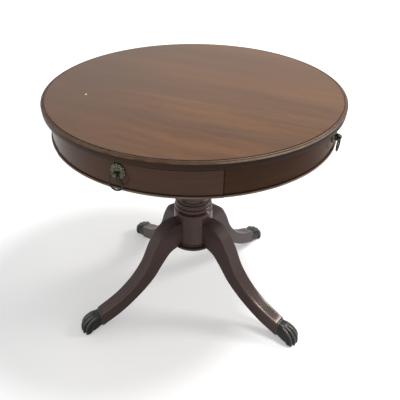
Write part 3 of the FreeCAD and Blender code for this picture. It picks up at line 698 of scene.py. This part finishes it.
# The foot is a squared oval of changing size carried outwards from the collar, which stands a little proud;
# a fine wave round its top is its fur
def footShell(look):
    away, top, bottom, half = smoothLine(look["foot"], look["footRows"]).T[:, :, None]
    collar = look["collar"] * (1 - np.clip((away - look["collarLength"]) / look["collarFall"], 0, 1))
    turn = np.linspace(0, 2 * math.pi, look["footColumns"], endpoint=False)
    squared = [np.sign(wave) * np.abs(wave) ** look["squareness"] for wave in (np.cos(turn), np.sin(turn))]
    locks = np.sin(turn * look["furLocks"] + away * look["furTwist"]) * (np.sin(turn) > look["furFrom"])
    fur = look["fur"] * locks * np.clip(away / look["furStart"], 0, 1)
    x = look["start"] + away + 0 * turn
    y = (half + collar + fur) * squared[0]
    z = (top + bottom) / 2 + ((top - bottom) / 2 + collar + fur) * squared[1]
    crest = (look["footCrest"] + look["collarCrest"] * (collar > 0)
             + look["furGain"] * fur * (away > look["furGainFrom"]))
    return {"points": closedEnds(np.stack([x, y, z], -1)), "crest": closedValues(np.clip(crest, 0, 1))}


# A toe or a claw is an oval carried along its middle line, square to it, then turned outwards and moved across
def toeShell(look, line, toe, count, isClaw):
    middle, back, outwards, size = toe
    path = smoothLine(line, count)
    ahead = np.gradient(path[:, :2], axis=0)
    ahead /= np.linalg.norm(ahead, axis=1)[:, None]
    turn = np.linspace(0, 2 * math.pi, look["toeColumns"], endpoint=False)
    share = np.linspace(0, 1, count)[:, None]
    ends = np.clip((share - look["capStart"]) / (1 - look["capStart"]), 0, 1)
    cap = np.sqrt(1 - look["capDepth"] * ends ** 2) * size
    wide = path[:, 2:3] * cap * np.cos(turn)
    deep = path[:, 3:4] * cap * np.sin(turn)
    forward = path[:, :1] - ahead[:, 1:] * deep
    up = path[:, 1:2] + ahead[:, :1] * deep
    swing = math.radians(outwards)
    x = look["start"] - back + forward * math.cos(swing) - wide * math.sin(swing)
    y = middle + (forward - look["toePivot"]) * math.sin(swing) + wide * math.cos(swing)
    z = np.maximum(up, look["soleHeight"])
    rubbed = look["toeBack"] + look["toeMiddle"] * np.sin(share * math.pi)
    crest = np.clip(np.sin(turn), 0, 1) ** 2 * rubbed + look["toeCrest"]
    crest = np.full_like(crest, look["clawCrest"]) if isClaw else crest
    return {"points": closedEnds(np.stack([x, y, z], -1)), "crest": closedValues(np.clip(crest, 0, 1))}


pawShells = [footShell(pawShape)]
for toe in pawShape["toes"]:
    pawShells.append(toeShell(pawShape, pawShape["toeLine"], toe, pawShape["toeRows"], False))
    pawShells.append(toeShell(pawShape, pawShape["clawLine"], toe, pawShape["clawRows"], True))
for leg, azimuth in pedestalTurns.items():
    placed = [{**shell, "points": turned(shell["points"], azimuth - 90)} for shell in pawShells]
    makePiece("cast_paw_" + leg, placed, castPawBrass, "pedestal", leg + "_paw")
print("paws")


# Lion masks

# each pull: its turn about the axis in degrees, its body, and how far the drawer stands open
pulls = {"front": (0, "drawer", 0.0012), "right": (90, "drum", 0.0), "rear": (180, "drum", 0.0),
         "left": (270, "drum", 0.0)}
maskShape = {
    "radius": 0.3645, "level": 0.645, "halfWidth": 0.0185, "halfHeight": 0.0205, "rim": 0.0022, "sunk": 0.0002,
    # the mane's rings: place from the nose to the rim, reach, height, and phase of its locks
    "locks": 13, "lockTwist": 9, "mane": ((0.60, 0.15, 0.0021, 0.0), (0.86, 0.14, 0.0019, 0.5)),
    "maneFloor": 0.25, "scallop": 0.035, "rimStart": 1.06, "rimFall": 0.10, "rimShare": 0.35,
    # bumps on the face: across, up, reach across, reach up (all shares of the half sizes) and height
    "bumps": ((0.0, -0.02, 0.50, 0.56, 0.0040), (0.0, 0.16, 0.13, 0.30, 0.0016),
              (-0.24, 0.22, 0.17, 0.10, 0.0014), (0.24, 0.22, 0.17, 0.10, 0.0014),
              (-0.22, 0.06, 0.11, 0.09, -0.0020), (0.22, 0.06, 0.11, 0.09, -0.0020),
              (-0.22, 0.06, 0.055, 0.045, 0.0013), (0.22, 0.06, 0.055, 0.045, 0.0013),
              (-0.30, -0.20, 0.17, 0.17, 0.0014), (0.30, -0.20, 0.17, 0.17, 0.0014),
              (-0.47, 0.50, 0.14, 0.13, 0.0024), (0.47, 0.50, 0.14, 0.13, 0.0024),
              (-0.47, 0.50, 0.06, 0.06, -0.0016), (0.47, 0.50, 0.06, 0.06, -0.0016),
              (0.0, -0.70, 0.20, 0.18, 0.0012)),
    "maneCrest": 0.55, "faceCrest": 0.55, "crestStart": 0.0042, "crestRise": 0.0045,
    "faceRings": 56, "rimSteps": (0.66, 0.33, 0.0), "backRings": 6, "columns": 156,
}
muzzleShape = {
    "level": 0.640, "projection": 0.0135, "halfWidth": 0.0062, "wire": 0.0020, "gap": 0.0002, "ring": 0.017,
    # reach from the ring's axis by direction: outwards, up, inwards, down
    "reach": {-180: 0.0125, -135: 0.0110, -90: 0.0068, -62: 0.0063, -38: 0.0052, -20: 0.0046, 0: 0.0058,
              18: 0.0066, 38: 0.0060, 60: 0.0058, 90: 0.0068, 135: 0.0108, 180: 0.0125},
    "least": 0.0041, "cheek": 0.62, "end": 0.93, "cleft": 0.0006, "cleftWidth": 0.12, "cleftTurn": -5,
    "cleftHeight": 30, "crestStart": 0.0050, "crestGain": 200, "crestMost": 0.5, "crestTurn": 50,
    "columns": 72, "outRows": 21, "backRows": 11, "backShare": 0.94,
}


# Relief over the frieze: bumps are bell curves, and the mane is two rings of bells cut into locks by a wave
def maskRelief(x, z, look):
    height = look["rim"] + sum(tall * np.exp(-((x - cx) / wx) ** 2 - ((z - cz) / wz) ** 2)
                               for cx, cz, wx, wz, tall in look["bumps"])
    away, turn = np.hypot(x, z), np.arctan2(z, x)
    crest = np.zeros_like(height)
    for ring, reach, tall, phase in look["mane"]:
        lock = 0.5 + 0.5 * np.sin(look["locks"] * turn + look["lockTwist"] * away + phase * 2 * math.pi)
        bell = np.exp(-((away - ring) / reach) ** 2)
        height = height + tall * bell * (look["maneFloor"] + (1 - look["maneFloor"]) * lock)
        crest = crest + bell * lock
    return height, crest


# The mask is a disc in rings from the nose to the rim, then down the rim and back to its middle behind
def maskShell(look):
    face, rim, back = look["faceRings"], look["rimSteps"], look["backRings"]
    rings = np.concatenate([np.linspace(0, 1, face), np.ones(len(rim)), np.linspace(1, 0, back)[1:]])[:, None]
    front = np.concatenate([np.ones(face), rim, np.zeros(back - 1)])[:, None]
    turn = np.linspace(0, 2 * math.pi, look["columns"], endpoint=False)
    scallop = 1 - look["scallop"] + look["scallop"] * np.sin(look["locks"] * turn + look["lockTwist"] + math.pi)
    x, z = rings * np.cos(turn) * scallop, rings * np.sin(turn) * scallop
    height, crest = maskRelief(x, z, look)
    height = height * np.clip((look["rimStart"] - rings) / look["rimFall"], look["rimShare"], 1)
    across = x * look["halfWidth"]
    base = np.sqrt(look["radius"] ** 2 - across ** 2) - look["sunk"]
    points = np.stack([across, -(base + front * height), look["level"] + z * look["halfHeight"]], -1)
    raised = np.clip((height - look["crestStart"]) / look["crestRise"], 0, 1)
    crest = front * (crest * look["maneCrest"] + raised * look["faceCrest"])
    return {"points": points, "crest": np.clip(crest, 0, 1)}


# The muzzle is a tube round the ring's axis: its outside reaches out to the nose and the chin, and its bore
# widens to the sides as far as the ring needs to swing
def muzzleShell(look):
    turn = np.linspace(-180, 180, look["columns"], endpoint=False)
    reach = np.interp(turn, list(look["reach"]), list(look["reach"].values()))
    reach = sum(np.roll(reach, shift) for shift in (-1, 0, 1)) / 3
    out = np.linspace(-1, 1, look["outRows"])[:, None]
    back = np.linspace(look["backShare"], -look["backShare"], look["backRows"])[:, None]
    narrow = np.sqrt(1 - look["cheek"] * out ** 4) * np.where(np.abs(out) == 1, look["end"], 1)
    cleft = (look["cleft"] * np.exp(-(out / look["cleftWidth"]) ** 2)
             * np.exp(-((turn - look["cleftTurn"]) / look["cleftHeight"]) ** 2))
    outer = np.maximum(reach * narrow - cleft, look["least"])
    side = back * look["halfWidth"]
    inner = look["wire"] + look["gap"] + look["ring"] - np.sqrt(look["ring"] ** 2 - side ** 2) + 0 * turn
    along = np.concatenate([out * look["halfWidth"] + 0 * turn, side + 0 * turn])
    radius = np.concatenate([outer, inner])
    angle = np.radians(turn)
    points = np.stack([along, -(maskShape["radius"] + look["projection"] + radius * np.cos(angle)),
                       look["level"] + radius * np.sin(angle)], -1)
    rubbed = np.clip((outer - look["crestStart"]) * look["crestGain"], 0, look["crestMost"])
    crest = np.concatenate([rubbed * (np.abs(turn) < look["crestTurn"]), inner * 0])
    return {"points": points, "crest": crest, "looped": True}


maskShells = [maskShell(maskShape), muzzleShell(muzzleShape)]
for side, (azimuth, body, ajar) in pulls.items():
    placed = [{**shell, "points": turned(shell["points"] - (0, ajar, 0), azimuth)} for shell in maskShells]
    makePiece("lion_relief_" + side, placed, castPull, body, "lion_mask_" + side)
print("lion masks")


# Studio

floorLook = {
    "radius": 9.0, "rings": 24, "columns": 96, "paper": (0.4, 0.4, 0.4), "paperDetail": 2.0,
    "roughness": 0.9, "paperRough": 0.05, "shown": 0.95, "bounced": 0.75, "mirrored": 0.66,
    "glow": 2.0, "glowShare": 0.155, "farShare": 0.25, "farFrom": (0.7, 2.0), "mirroredLoss": 0.25,
}
worldLook = {"light": 0.580, "slope": 0.08, "ceiling": 0.45, "ceilingFrom": (0.54, 0.80)}
# Lamps stand and aim in a frame that is turned round the table with the camera
studioTurn = 25.3
lamps = {
    "key": {"place": (1.13, -0.05, 3.45), "aim": (0.0, 0.0, 0.5), "size": 0.75, "power": 63.0,
            "tint": (1.0, 1.0, 1.0)},
    "side": {"place": (2.14, 0.46, 1.72), "aim": (0.21, -0.16, 0.09), "size": 0.70, "power": 25.0,
             "tint": (1.0, 0.98, 0.96)},
}


def grey(level):  # the same value in all three
    return (level, level, level, 1)


def seenWhite(nodes):  # 1 where the ray comes from the camera or a mirror-like surface, else 0
    camera, glossy, through = (nodes.add("LightPath", output=ray) for ray in
                               ("Is Camera Ray", "Is Glossy Ray", "Is Transmission Ray"))
    return camera.largest(glossy).largest(through)


def seenMirrored(nodes):  # 1 where the ray comes from a mirror-like surface
    return nodes.add("LightPath", output="Is Glossy Ray")


# The floor is a flat disc in rings. It shows itself white with a share of its light its own, so that it keeps a
# pale shadow; the share grows away from the table
def studioFloor(look):
    turn = np.linspace(0, 2 * math.pi, look["columns"], endpoint=False)
    rings = (np.linspace(0, 1, look["rings"]) ** 2 * look["radius"])[:, None]
    points = np.stack([rings * np.cos(turn), rings * np.sin(turn), 0 * rings * turn], -1).reshape(-1, 3)
    mesh = bpy.data.meshes.new("studio_floor")
    mesh.from_pydata(points, [], gridQuads(look["rings"], look["columns"], False, 0))
    material, nodes, shader = newFinish("floorPaper")
    paper = nodes.noise(objectPlace(nodes), look["paper"], look["paperDetail"])
    shown = nodes.mix(seenWhite(nodes), grey(look["bounced"]), grey(look["shown"]))
    shown = nodes.mix(seenMirrored(nodes), shown, grey(look["mirrored"]))
    nodes.feed(shader, {"Base Color": shown, "Roughness": look["roughness"] + paper * look["paperRough"],
                        "Specular IOR Level": 0.0})
    glow = nodes.add("Emission", {"Color": grey(1), "Strength": look["glow"]})
    share = radiusOf(nodes).rise(*look["farFrom"]) * look["farShare"] + look["glowShare"]
    share = share * (seenWhite(nodes) - seenMirrored(nodes) * look["mirroredLoss"])
    both = nodes.add("MixShader", {0: share, 1: Wire(nodes, shader.outputs[0]), 2: glow})
    nodes.feed(nodes.tree.nodes["Material Output"], {"Surface": both})
    mesh.materials.append(material)
    floor = bpy.data.objects.new("studio_floor", mesh)
    bpy.context.scene.collection.objects.link(floor)


# The world's light is a little stronger from one side. It shows itself white, but overhead, and in polish alone,
# brighter than white by the ceiling's share
def studioWorld(look):
    world = bpy.data.worlds.new("studio")
    world.use_nodes = True
    nodes = Nodes(world.node_tree)
    x, y, z = nodes.axes(nodes.add("TexCoord", output="Generated"))
    turn = math.radians(studioTurn)
    light = 1 + (x * math.cos(turn) + y * math.sin(turn)) * look["slope"]
    plain = nodes.add("Background", {"Color": nodes.join(light, light, light), "Strength": look["light"]})
    bright = 1 + seenMirrored(nodes) * z.rise(*look["ceilingFrom"]) * look["ceiling"]
    white = nodes.add("Background", {"Color": nodes.join(bright, bright, bright), "Strength": 1.0})
    both = nodes.add("MixShader", {0: seenWhite(nodes), 1: plain, 2: white})
    nodes.feed(world.node_tree.nodes["World Output"], {"Surface": both})
    bpy.context.scene.world = world


def areaLamp(name, look):  # a round lamp that faces its aim
    lamp = bpy.data.lights.new(name, "AREA")
    lamp.color = look["tint"]
    lamp.shape = "DISK"
    lamp.size = look["size"]
    lamp.energy = look["power"]
    holder = bpy.data.objects.new(name, lamp)
    bpy.context.scene.collection.objects.link(holder)
    start, end = (Vector(turned(look[point], studioTurn).tolist()) for point in ("place", "aim"))
    holder.location = start
    holder.rotation_euler = (end - start).to_track_quat("-Z", "Y").to_euler()


studioFloor(floorLook)
studioWorld(worldLook)
for lamp, look in lamps.items():
    areaLamp(lamp, look)
print("studio")


# Camera: 1.25 m in front of the pillar, 25.3 degrees round from the drawer, looking down; angles in degrees

view = {"distance": 1.249, "height": 1.188, "azimuth": 25.3, "yaw": -0.50, "pitch": 33.81, "roll": -0.06,
        "lens": 46.26, "sensor": 36.0, "shift": (0.0258, 0.0007)}


# It looks along yaw and pitch, and its place and its sight are both turned round the table by azimuth
def studioCamera(look):
    camera = bpy.data.cameras.new("photoView")
    camera.sensor_width = look["sensor"]
    camera.lens = look["lens"]
    camera.shift_x, camera.shift_y = look["shift"]
    holder = bpy.data.objects.new("photoView", camera)
    bpy.context.scene.collection.objects.link(holder)
    yaw, pitch = math.radians(look["yaw"]), math.radians(look["pitch"])
    ahead = turned((math.sin(yaw) * math.cos(pitch), math.cos(yaw) * math.cos(pitch), -math.sin(pitch)),
                   look["azimuth"])
    holder.location = turned((0, -look["distance"], look["height"]), look["azimuth"]).tolist()
    aim = Vector(ahead.tolist()).to_track_quat("-Z", "Y").to_matrix()
    roll = Matrix.Rotation(math.radians(-look["roll"]), 3, "Z")
    holder.rotation_euler = (aim @ roll).to_euler()
    bpy.context.scene.camera = holder


studioCamera(view)
bpy.context.scene.view_settings.view_transform = "Standard"
print("camera")
